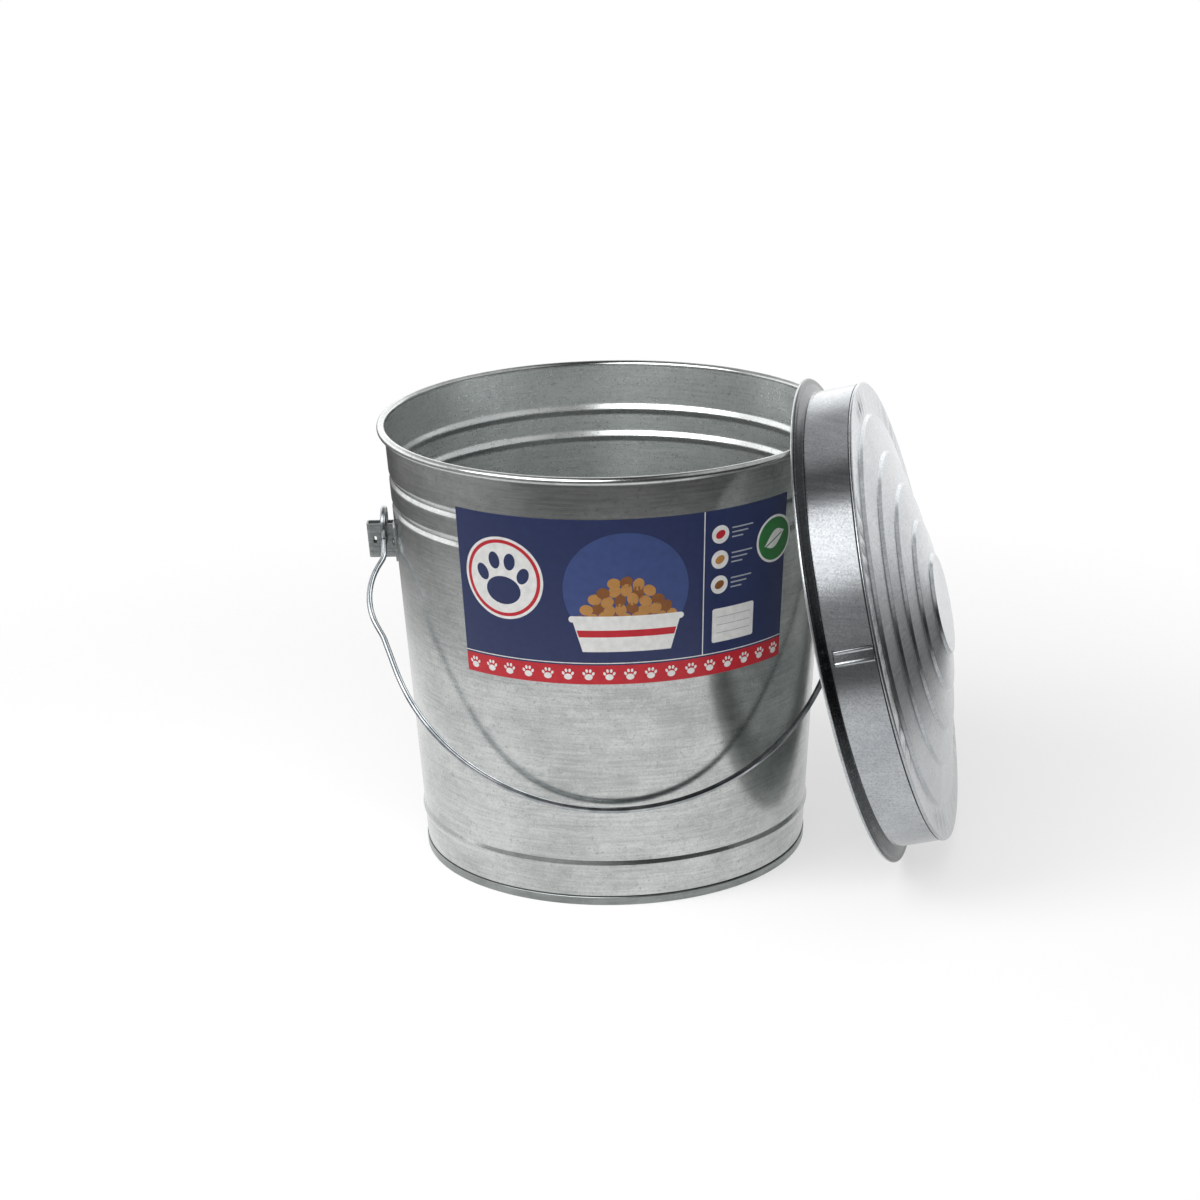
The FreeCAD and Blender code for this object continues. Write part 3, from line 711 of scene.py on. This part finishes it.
ears = dict(flatAngle=0.5, smoothAngle=35.0, height=279.0 * mm, spacing=27.0 * mm, gap=0.1 * mm, plate=1.5 * mm,
            headRadius=4.0 * mm, headHeight=1.8 * mm, shankRadius=2.0 * mm, tailRadius=3.4 * mm, tailHeight=1.2 * mm,
            tailRound=0.3 * mm, headEdge=0.2 * mm, headSteps=8, rivetSegments=24)


def makeEar(node):
    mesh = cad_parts[node].data.copy()
    name = node.split("_")[0] + "EarPlate"
    mesh.name = name
    bm = bmesh.new()
    bm.from_mesh(mesh)
    bmesh.ops.remove_doubles(bm, verts=bm.verts, dist=weld)
    bmesh.ops.dissolve_limit(bm, angle_limit=math.radians(ears["flatAngle"]), verts=bm.verts, edges=bm.edges)
    for face in bm.faces:
        face.smooth = True
        face.material_index = 0
    for edge in bm.edges:
        edge.smooth = edge.calc_face_angle(math.pi) < math.radians(ears["smoothAngle"])
    bm.to_mesh(mesh)
    bm.free()
    mesh.materials.clear()
    mesh.materials.append(earSteel)
    obj = newObject(name, mesh)
    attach(obj, "can")
    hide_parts(node)
    return obj


def makeRivets():
    seat = 2 * ears["gap"] + ears["plate"]
    under = -can["sheet"] - ears["gap"]
    head, tail, shank = ears["headRadius"], ears["tailRadius"], ears["shankRadius"]
    tailEnd, rounding = under - ears["tailHeight"], ears["tailRound"]
    outline = [Vector(p) for p in (
        (0, tailEnd), (tail - rounding, tailEnd), (tail, tailEnd + rounding), (tail, under), (shank, under),
        (shank, seat), (head, seat))]
    edge, steps = ears["headEdge"], ears["headSteps"]
    for step in range(1, steps + 1):
        angle = math.pi / 2 * step / steps
        rise = edge + (ears["headHeight"] - edge) * math.sin(angle)
        outline.append(Vector((head * math.cos(angle), seat + rise)))
    source = spunPiece("rivetSource", outline, rivetSteel, segments=ears["rivetSegments"])
    mesh = bpy.data.meshes.new("earRivets")
    points, outward = [], []
    z = ears["height"]
    for sign in (-1, 1):
        for side in (-1, 1):
            angle = side * ears["spacing"] / 2 / wallOuter(z)
            direction = Vector((sign * math.cos(angle), math.sin(angle), -taper)).normalized()
            points.append((sign * wallOuter(z) * math.cos(angle), wallOuter(z) * math.sin(angle), z))
            outward.append(direction)
    mesh.from_pydata(points, [], [])
    axis = mesh.attributes.new("outward", "FLOAT_VECTOR", "POINT")
    for i, direction in enumerate(outward):
        axis.data[i].vector = direction
    obj = newObject("earRivets", mesh)
    modifier = obj.modifiers.new("rivets", "NODES")
    modifier.node_group = rivetTree
    setInput(modifier, "Rivet", source)
    setInput(modifier, "Material", rivetSteel)
    settle(obj)
    bpy.data.objects.remove(source)
    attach(obj, "can")
    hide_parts("left_ear_rivets", "right_ear_rivets")
    return obj


for earNode in ("left_ear", "right_ear"):
    makeEar(earNode)
makeRivets()
for wireNode in ("rim_wire", "lid_edge_wire"):
    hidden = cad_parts[wireNode]
    hidden.data.materials.clear()
    hidden.data.materials.append(hiddenWire)
print("ears and rivets ready")


# Printed label: the sheet and each area of ink are drawn flat, then wrapped on the wall

label = dict(left=-41.8, right=50.7, low=204.0 * mm, high=348.5 * mm, gap=0.1 * mm, film=0.35 * mm, ink=0.03 * mm,
             radius=185.0 * mm, cut=4.0 * mm, nearCut=1e-7)
inks = [inkNavy, inkBlue, inkRed, inkWhite, inkTan, inkBrown, inkGrey, inkGreen]
navy, blue, red, white, tan, brown, grey, green = range(len(inks))


def onWall(u, z, lift):
    # u runs round the wall from the front, lift stands off its outer face
    angle = u / label["radius"]
    reach = wallOuter(z) + lift
    return Vector((reach * math.sin(angle), -reach * math.cos(angle), z))


def addPatch(bm, outline, low, high, slot):
    flat = bmesh.new()
    face = flat.faces.new([flat.verts.new((u, z, 0)) for u, z in outline])
    first, last = min(p[0] for p in outline), max(p[0] for p in outline)
    cuts = int((last - first) / label["cut"])
    for i in range(1, cuts + 1):
        at = first + (last - first) * i / (cuts + 1)
        geom = flat.verts[:] + flat.edges[:] + flat.faces[:]
        bmesh.ops.bisect_plane(flat, geom=geom, dist=label["nearCut"], plane_co=(at, 0, 0), plane_no=(1, 0, 0))
    bmesh.ops.triangulate(flat, faces=flat.faces[:])
    raised = bmesh.ops.extrude_face_region(flat, geom=flat.faces[:])["geom"]
    for vert in raised:
        if isinstance(vert, bmesh.types.BMVert):
            vert.co.z = 1.0
    bmesh.ops.recalc_face_normals(flat, faces=flat.faces[:])
    made = {}
    for vert in flat.verts:
        made[vert] = bm.verts.new(onWall(vert.co.x, vert.co.y, low + (high - low) * vert.co.z))
    for face in flat.faces:
        bm.faces.new([made[v] for v in face.verts]).material_index = slot
    flat.free()


def box(u0, z0, u1, z1, corner=0.0):
    if not corner:
        return [(u0, z0), (u1, z0), (u1, z1), (u0, z1)]
    outline = []
    left, right, low, high = u0 + corner, u1 - corner, z0 + corner, z1 - corner
    for cu, cz, start in ((right, low, -90), (right, high, 0), (left, high, 90), (left, low, 180)):
        for turn in range(0, 91, 15):
            angle = math.radians(start + turn)
            outline.append((cu + corner * math.cos(angle), cz + corner * math.sin(angle)))
    return outline


def oval(u, z, wide, tall, turn=0.0, count=32):
    outline = []
    for i in range(count):
        angle = 2 * math.pi * i / count
        a, b = wide * math.cos(angle), tall * math.sin(angle)
        c, s = math.cos(math.radians(turn)), math.sin(math.radians(turn))
        outline.append((u + a * c - b * s, z + a * s + b * c))
    return outline


def paw(u, z, size):
    # one pad and four toes, as shares of the paw's size
    shapes = [oval(u, z - 0.22 * size, 0.36 * size, 0.28 * size, count=28)]
    for du, dz, turn in ((-0.42, 0.10, 25), (-0.16, 0.36, 8), (0.16, 0.36, -8), (0.42, 0.10, -25)):
        shapes.append(oval(u + du * size, z + dz * size, 0.115 * size, 0.17 * size, turn, 20))
    return shapes


def bowlBand(middle, upper, lower):
    (wide, top), (narrow, foot) = upper, lower
    return [(middle - wide * mm, top * mm), (middle - narrow * mm, foot * mm), (middle + narrow * mm, foot * mm),
            (middle + wide * mm, top * mm)]


# the print's own measures in mm, across from the front and up from the floor
art = dict(band=17, bandLine=(18.4, 19.2), pawCount=17, pawRise=8.6, pawSize=9.5, badge=(-92, 293),
           badgeRings=((36, white), (33.6, red), (30.6, white)), badgePaw=44, badgePawDrop=1, middle=12,
           disc=(287, 52, 50), kibbleRows=((262, 9, 38), (270, 8, 33), (278, 6, 26), (286, 5, 19), (293, 3, 10)),
           kibble=(5.6, 4.7), kibbleJog=1.2, kibbleTurn=35, bowl=((45, 261), (37, 233)), bowlRim=(48, 259, 264.5, 2.7),
           bowlStripe=((41.6, 252), (39.9, 246)), divider=(77, 77.9), panel=(86, 232, 128, 262, 2),
           panelLines=(240, 247, 254), panelLine=(90, 124, 0.6), marks=((283, brown), (305, tan), (327, red)),
           markAt=92, markRadius=8, markKibble=(4.6, 3.4, 30), markLines=3, markLine=(103, 124, 3.4, 4.6),
           markLineStep=4, markLineShrink=5, roundCount=64)


def printLevel(level):
    base = label["gap"] + label["film"]
    return base - label["ink"], base + label["ink"] * level


def makeLabel():
    bm = bmesh.new()
    left, right = (math.radians(label[key]) * label["radius"] for key in ("left", "right"))
    low, high = label["low"], label["high"]
    addPatch(bm, box(left, low, right, high), label["gap"], label["gap"] + label["film"], navy)

    def ink(outline, slot, level=1):
        addPatch(bm, outline, *printLevel(level), slot)

    # band along the foot with a row of paws
    lineLow, lineHigh = art["bandLine"]
    ink(box(left, low, right, low + art["band"] * mm), red)
    ink(box(left, low + lineLow * mm, right, low + lineHigh * mm), white)
    for i in range(art["pawCount"]):
        u = left + (right - left) * (i + 0.5) / art["pawCount"]
        for shape in paw(u, low + art["pawRise"] * mm, art["pawSize"] * mm):
            ink(shape, white, 2)
    # round badge at the left
    u, z = (part * mm for part in art["badge"])
    for i, (radius, slot) in enumerate(art["badgeRings"]):
        ink(oval(u, z, radius * mm, radius * mm, count=art["roundCount"]), slot, i + 1)
    for shape in paw(u, z - art["badgePawDrop"] * mm, art["badgePaw"] * mm):
        ink(shape, navy, 4)
    # bowl with kibble in the middle
    middle = art["middle"] * mm
    z, wide, tall = art["disc"]
    ink(oval(middle, z * mm, wide * mm, tall * mm, count=72), blue)
    wide, tall = art["kibble"]
    for index, (z, number, half) in enumerate(art["kibbleRows"]):
        for i in range(number):
            u = middle + half * mm * (2 * i / (number - 1) - 1)
            up = z * mm + art["kibbleJog"] * mm * ((i * 7 + index) % 3 - 1)
            shade = tan if (i * 2 + index) % 3 else brown
            ink(oval(u, up, wide * mm, tall * mm, art["kibbleTurn"] * i, 16), shade, 2 + (i + index) % 2)
    half, foot, top, corner = art["bowlRim"]
    ink(bowlBand(middle, *art["bowl"]), white, 4)
    ink(box(middle - half * mm, foot * mm, middle + half * mm, top * mm, corner * mm), white, 5)
    ink(bowlBand(middle, *art["bowlStripe"]), red, 5)
    # divider, write-on panel and three kibble marks at the right
    first, last = art["divider"]
    ink(box(first * mm, low + lineHigh * mm, last * mm, high), white)
    ink(box(*(part * mm for part in art["panel"])), white)
    first, last, thick = art["panelLine"]
    for z in art["panelLines"]:
        ink(box(first * mm, z * mm, last * mm, (z + thick) * mm), grey, 2)
    u, radius = art["markAt"] * mm, art["markRadius"] * mm
    wide, tall, turn = art["markKibble"]
    first, last, foot, top = art["markLine"]
    for z, slot in art["marks"]:
        ink(oval(u, z * mm, radius, radius), white)
        ink(oval(u, z * mm, wide * mm, tall * mm, turn), slot, 2)
        for line in range(art["markLines"]):
            fall, end = art["markLineStep"] * line, last - art["markLineShrink"] * line
            ink(box(first * mm, (z + foot - fall) * mm, end * mm, (z + top - fall) * mm), grey)
    mesh = bpy.data.meshes.new("frontLabel")
    bm.to_mesh(mesh)
    bm.free()
    for material in inks:
        mesh.materials.append(material)
    obj = newObject("frontLabel", mesh)
    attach(obj, "can")
    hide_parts("front_label")
    return obj


sticker = dict(angle=46.3, height=311.7 * mm, radius=21.0 * mm, edge=0.3 * mm, film=0.25 * mm, gap=0.2 * mm, face=0.9,
               roundCount=72, leafLong=1.15, leafRise=0.5, leafWide=0.36, leafPoint=1.2, leafSteps=24,
               vein=((-0.62, -0.30), (-0.58, -0.34), (0.42, 0.155), (0.40, 0.205)))


def makeSticker():
    bm = bmesh.new()
    u, z = math.radians(sticker["angle"]) * label["radius"], sticker["height"]
    base = label["film"] + sticker["gap"]
    top = base + sticker["film"]
    ink = label["ink"]
    size, count = sticker["radius"] - sticker["edge"], sticker["roundCount"]
    face = sticker["face"] * size
    addPatch(bm, oval(u, z, size, size, count=count), base, top, white)
    addPatch(bm, oval(u, z, face, face, count=count), top - ink, top + ink, green)
    # the leaf's upper edge from stalk to tip, then its lower edge back
    leaf, steps = [], sticker["leafSteps"]
    for sign, order in ((1, range(steps + 1)), (-1, range(steps - 1, 0, -1))):
        for t in (i / steps for i in order):
            swell = sign * sticker["leafWide"] * size * math.sin(math.pi * t) ** sticker["leafPoint"]
            across, up = (t - 0.5) * sticker["leafLong"] * size, (t - 0.5) * sticker["leafRise"] * size
            leaf.append((u + across, z + up + swell))
    addPatch(bm, leaf, top, top + 2 * ink, white)
    addPatch(bm, [(u + a * size, z + b * size) for a, b in sticker["vein"]], top, top + 3 * ink, green)
    mesh = bpy.data.meshes.new("roundSticker")
    bm.to_mesh(mesh)
    bm.free()
    for material in inks:
        mesh.materials.append(material)
    obj = newObject("roundSticker", mesh)
    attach(obj, "can")
    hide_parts("round_sticker")
    return obj


makeLabel()
makeSticker()
print("label and sticker ready")


# Floor, studio and camera

studio = dict(floorRadius=2.5, floorSides=96, floorClear=(0.46, 1.05), floorTone="#f8f8f7", floorBlend=0.62,
              floorGlow=1.0, roomRadius=7.0, backTone=1.2, backSlant=-0.45, backDip=0.9, backEdge=(0.28, 0.42),
              leftTone=0.30, rightTone=0.04, dimSpan=(-0.7, 0.4), horizon=1.5, horizonSpan=(0.0, 0.14), overhead=0.3,
              overheadSpan=(0.35, 0.7), overRight=0.75, overRightSpan=(0.15, 0.4), asideTone=0.38,
              asideSpans=((0.6, 0.8), (0.15, 0.35), (-0.25, -0.12)), tableReach=6.0, tableCorner=(0.25, 0.15),
              tableDrop=0.004, tableTones=(0.6, 0.10), tableSpan=(-1.35, -0.7), tableRough=0.9, worldTones=(0.22, 1.0))


def seenRays(tree):
    # 1 for what the camera sees, straight or in metal and glass
    rays = addNode(tree, "ShaderNodeLightPath")
    seen = addNode(tree, "ShaderNodeMath", {0: rays.outputs["Is Camera Ray"], 1: rays.outputs["Is Glossy Ray"]},
                   operation="MAXIMUM").outputs[0]
    return addNode(tree, "ShaderNodeMath", {0: seen, 1: rays.outputs["Is Transmission Ray"]},
                   operation="MAXIMUM").outputs[0]


def makeFloor():
    mesh = bpy.data.meshes.new("paperFloor")
    count, reach = studio["floorSides"], studio["floorRadius"]
    angles = [2 * math.pi * i / count for i in range(count)]
    mesh.from_pydata([(reach * math.cos(a), reach * math.sin(a), 0) for a in angles], [], [tuple(range(count))])
    floor = newObject("paperFloor", mesh)
    # matte white paper that fades out well away from the can
    material, tree, _ = newMaterial("matteWhitePaper")
    tree.nodes.clear()
    place = addNode(tree, "ShaderNodeTexCoord").outputs["Object"]
    away = addNode(tree, "ShaderNodeVectorMath", {0: place}, operation="LENGTH").outputs["Value"]
    low, high = studio["floorClear"]
    fade = addNode(tree, "ShaderNodeMapRange", {"Value": away, "From Min": low, "From Max": high},
                   interpolation_type="SMOOTHSTEP").outputs[0]
    paper = addNode(tree, "ShaderNodeBsdfDiffuse", {"Color": hexColour(studio["floorTone"])}).outputs[0]
    # much of the white that is seen does not hang on the lamps, so shadows stay pale
    pale = addNode(tree, "ShaderNodeMath", {0: seenRays(tree), 1: studio["floorBlend"]},
                   operation="MULTIPLY").outputs[0]
    glow = addNode(tree, "ShaderNodeEmission", {"Color": whiteLight, "Strength": studio["floorGlow"]}).outputs[0]
    paper = addNode(tree, "ShaderNodeMixShader", {0: pale, 1: paper, 2: glow}).outputs[0]
    clear = addNode(tree, "ShaderNodeBsdfTransparent").outputs[0]
    both = addNode(tree, "ShaderNodeMixShader", {0: fade, 1: paper, 2: clear}).outputs[0]
    addNode(tree, "ShaderNodeOutputMaterial", {"Surface": both})
    mesh.materials.append(material)
    return floor


def makeRoom():
    # pale wall behind, dim room in front: seen in the metal, not by the camera
    bm = bmesh.new()
    bmesh.ops.create_uvsphere(bm, u_segments=48, v_segments=24, radius=studio["roomRadius"])
    bmesh.ops.reverse_faces(bm, faces=bm.faces[:])
    mesh = bpy.data.meshes.new("studioRoom")
    bm.to_mesh(mesh)
    bm.free()
    room = newObject("studioRoom", mesh)
    material, tree, _ = newMaterial("paintedStudioWall")
    tree.nodes.clear()
    place = addNode(tree, "ShaderNodeTexCoord").outputs["Object"]
    way = addNode(tree, "ShaderNodeVectorMath", {0: place}, operation="NORMALIZE").outputs[0]
    parts = addNode(tree, "ShaderNodeSeparateXYZ", {"Vector": way})
    x, y, z = (parts.outputs[axis] for axis in "XYZ")
    back = addNode(tree, "ShaderNodeMath", {0: x, 1: studio["backSlant"], 2: y}, operation="MULTIPLY_ADD").outputs[0]
    below = addNode(tree, "ShaderNodeMath", {0: z, 1: 0.0}, operation="MINIMUM").outputs[0]
    back = addNode(tree, "ShaderNodeMath", {0: below, 1: studio["backDip"], 2: back},
                   operation="MULTIPLY_ADD").outputs[0]
    highRight = addNode(tree, "ShaderNodeMath", {0: x, 1: z}, operation="MULTIPLY").outputs[0]
    asideX, asideY, asideZ = studio["asideSpans"]
    steps = []
    for value, (low, high), fromTone, toTone in (
            (back, studio["backEdge"], 0.0, 1.0), (x, studio["dimSpan"], studio["leftTone"], studio["rightTone"]),
            (z, studio["horizonSpan"], 1.0, studio["horizon"]), (z, studio["overheadSpan"], 1.0, studio["overhead"]),
            (highRight, studio["overRightSpan"], 0.0, studio["overRight"]),
            (x, asideX, 0.0, studio["asideTone"]), (y, asideY, 0.0, 1.0), (z, asideZ, 0.0, 1.0)):
        steps.append(addNode(tree, "ShaderNodeMapRange", {
            "Value": value, "From Min": low, "From Max": high, "To Min": fromTone, "To Max": toTone},
            interpolation_type="SMOOTHSTEP").outputs[0])
    behind, dim, rise, overhead, overRight, aside, asideBack, asideLevel = steps
    tone = addNode(tree, "ShaderNodeMapRange", {
        "Value": behind, "To Min": dim, "To Max": studio["backTone"]}).outputs[0]
    for share in (rise, overhead):
        tone = addNode(tree, "ShaderNodeMath", {0: tone, 1: share}, operation="MULTIPLY").outputs[0]
    for share in (asideBack, asideLevel):
        aside = addNode(tree, "ShaderNodeMath", {0: aside, 1: share}, operation="MULTIPLY").outputs[0]
    for more in (overRight, aside):
        tone = addNode(tree, "ShaderNodeMath", {0: tone, 1: more}, operation="ADD").outputs[0]
    light = addNode(tree, "ShaderNodeEmission", {"Color": whiteLight, "Strength": tone}).outputs[0]
    addNode(tree, "ShaderNodeOutputMaterial", {"Surface": light})
    mesh.materials.append(material)
    room.visible_camera = False
    room.visible_diffuse = False
    room.visible_shadow = False


def makeTable():
    # dim table top beyond the paper, seen in the metal only, open at the right and back
    mesh = bpy.data.meshes.new("dimTable")
    reach = studio["tableReach"]
    x, y = studio["tableCorner"]
    corners = [(-reach, -reach), (reach, -reach), (reach, y), (x, y), (x, reach), (-reach, reach)]
    mesh.from_pydata([(x, y, -studio["tableDrop"]) for x, y in corners], [], [tuple(range(len(corners)))])
    table = newObject("dimTable", mesh)
    material, tree, shader = newMaterial("matteGreyTable")
    place = addNode(tree, "ShaderNodeTexCoord").outputs["Object"]
    across = addNode(tree, "ShaderNodeSeparateXYZ", {"Vector": place}).outputs["X"]
    left, front = ((tone, tone, tone, 1) for tone in studio["tableTones"])
    tree.links.new(addTones(tree, left, ((across, studio["tableSpan"], 1.0, front),)), shader.inputs["Base Color"])
    shader.inputs["Roughness"].default_value = studio["tableRough"]
    mesh.materials.append(material)
    table.visible_camera = False
    table.visible_shadow = False


def makeWorld():
    # the same white behind the object for the camera, for metal and for glass
    world = bpy.data.worlds.new("studio")
    world.use_nodes = True
    tree = world.node_tree
    tree.nodes.clear()
    low, high = studio["worldTones"]
    tone = addNode(tree, "ShaderNodeMapRange", {"Value": seenRays(tree), "To Min": low, "To Max": high}).outputs[0]
    back = addNode(tree, "ShaderNodeBackground", {"Color": whiteLight, "Strength": tone}).outputs[0]
    addNode(tree, "ShaderNodeOutputWorld", {"Surface": back})
    scene.world = world


def addPanel(name, location, target, size, radiance, mirrored=True, lit=True, only=None):
    # the lamp's power follows from how bright its face looks
    lamp = bpy.data.lights.new(name, "AREA")
    lamp.shape = "RECTANGLE"
    lamp.size, lamp.size_y = size
    lamp.energy = radiance * math.pi * size[0] * size[1]
    obj = bpy.data.objects.new(name, lamp)
    obj.location = location
    obj.rotation_euler = (Vector(target) - Vector(location)).to_track_quat("-Z", "Y").to_euler()
    obj.visible_camera = False
    obj.visible_glossy = mirrored
    obj.visible_diffuse = lit
    scene.collection.objects.link(obj)
    if only:
        group = bpy.data.collections.new(name + "Lit")
        for piece in only:
            group.objects.link(piece)
        obj.light_linking.receiver_collection = group


view = dict(lens=96.0, sensor=36.0, place=(-0.0096, -2.670, 1.0955), right=(0.99977, -0.00676, -0.02056),
            up=(0.02164, 0.31213, 0.94978))


def makeCamera():
    data = bpy.data.cameras.new("photoCamera")
    data.lens, data.sensor_width = view["lens"], view["sensor"]
    camera = bpy.data.objects.new("photoCamera", data)
    right, up = Vector(view["right"]), Vector(view["up"])
    right.normalize()
    back = right.cross(up).normalized()
    up = back.cross(right)
    turn = Matrix((right, up, back)).transposed().to_4x4()
    turn.translation = view["place"]
    camera.matrix_world = turn
    scene.collection.objects.link(camera)
    scene.camera = camera


floor = makeFloor()
makeRoom()
makeTable()
makeWorld()
panels = dict(
    topPanel=dict(location=(0.1, -0.15, 2.4), target=(0.05, 0, 0), size=(1.8, 1.8), radiance=1.0, mirrored=False),
    frontPanel=dict(location=(0.2, -2.3, 2.4), target=(0, 0, 0.25), size=(2.2, 1.5), radiance=3.2, mirrored=False),
    insidePanel=dict(location=(-0.75, -1.7, 1.5), target=(0, 0.1, 0.25), size=(1.6, 1.2), radiance=5.0,
                     only=(bodyWall, bottomPan)),
    keyPanel=dict(location=(-2.15, -1.15, 1.75), target=(0, 0, 0.1), size=(1.4, 1.4), radiance=3.4),
    shadowPanel=dict(location=(-1.35, -0.9, 2.4), target=(0, 0, 0.1), size=(1.4, 1.4), radiance=6.4, mirrored=False,
                     only=(floor,)),
    fillPanel=dict(location=(-1.28, -1.16, 2.03), target=(0, 0, 0.2), size=(2.0, 1.8), radiance=1.9, lit=False))
for panelName, settings in panels.items():
    addPanel(panelName, **settings)
makeCamera()
scene.view_settings.view_transform = "Standard"
print("studio ready")
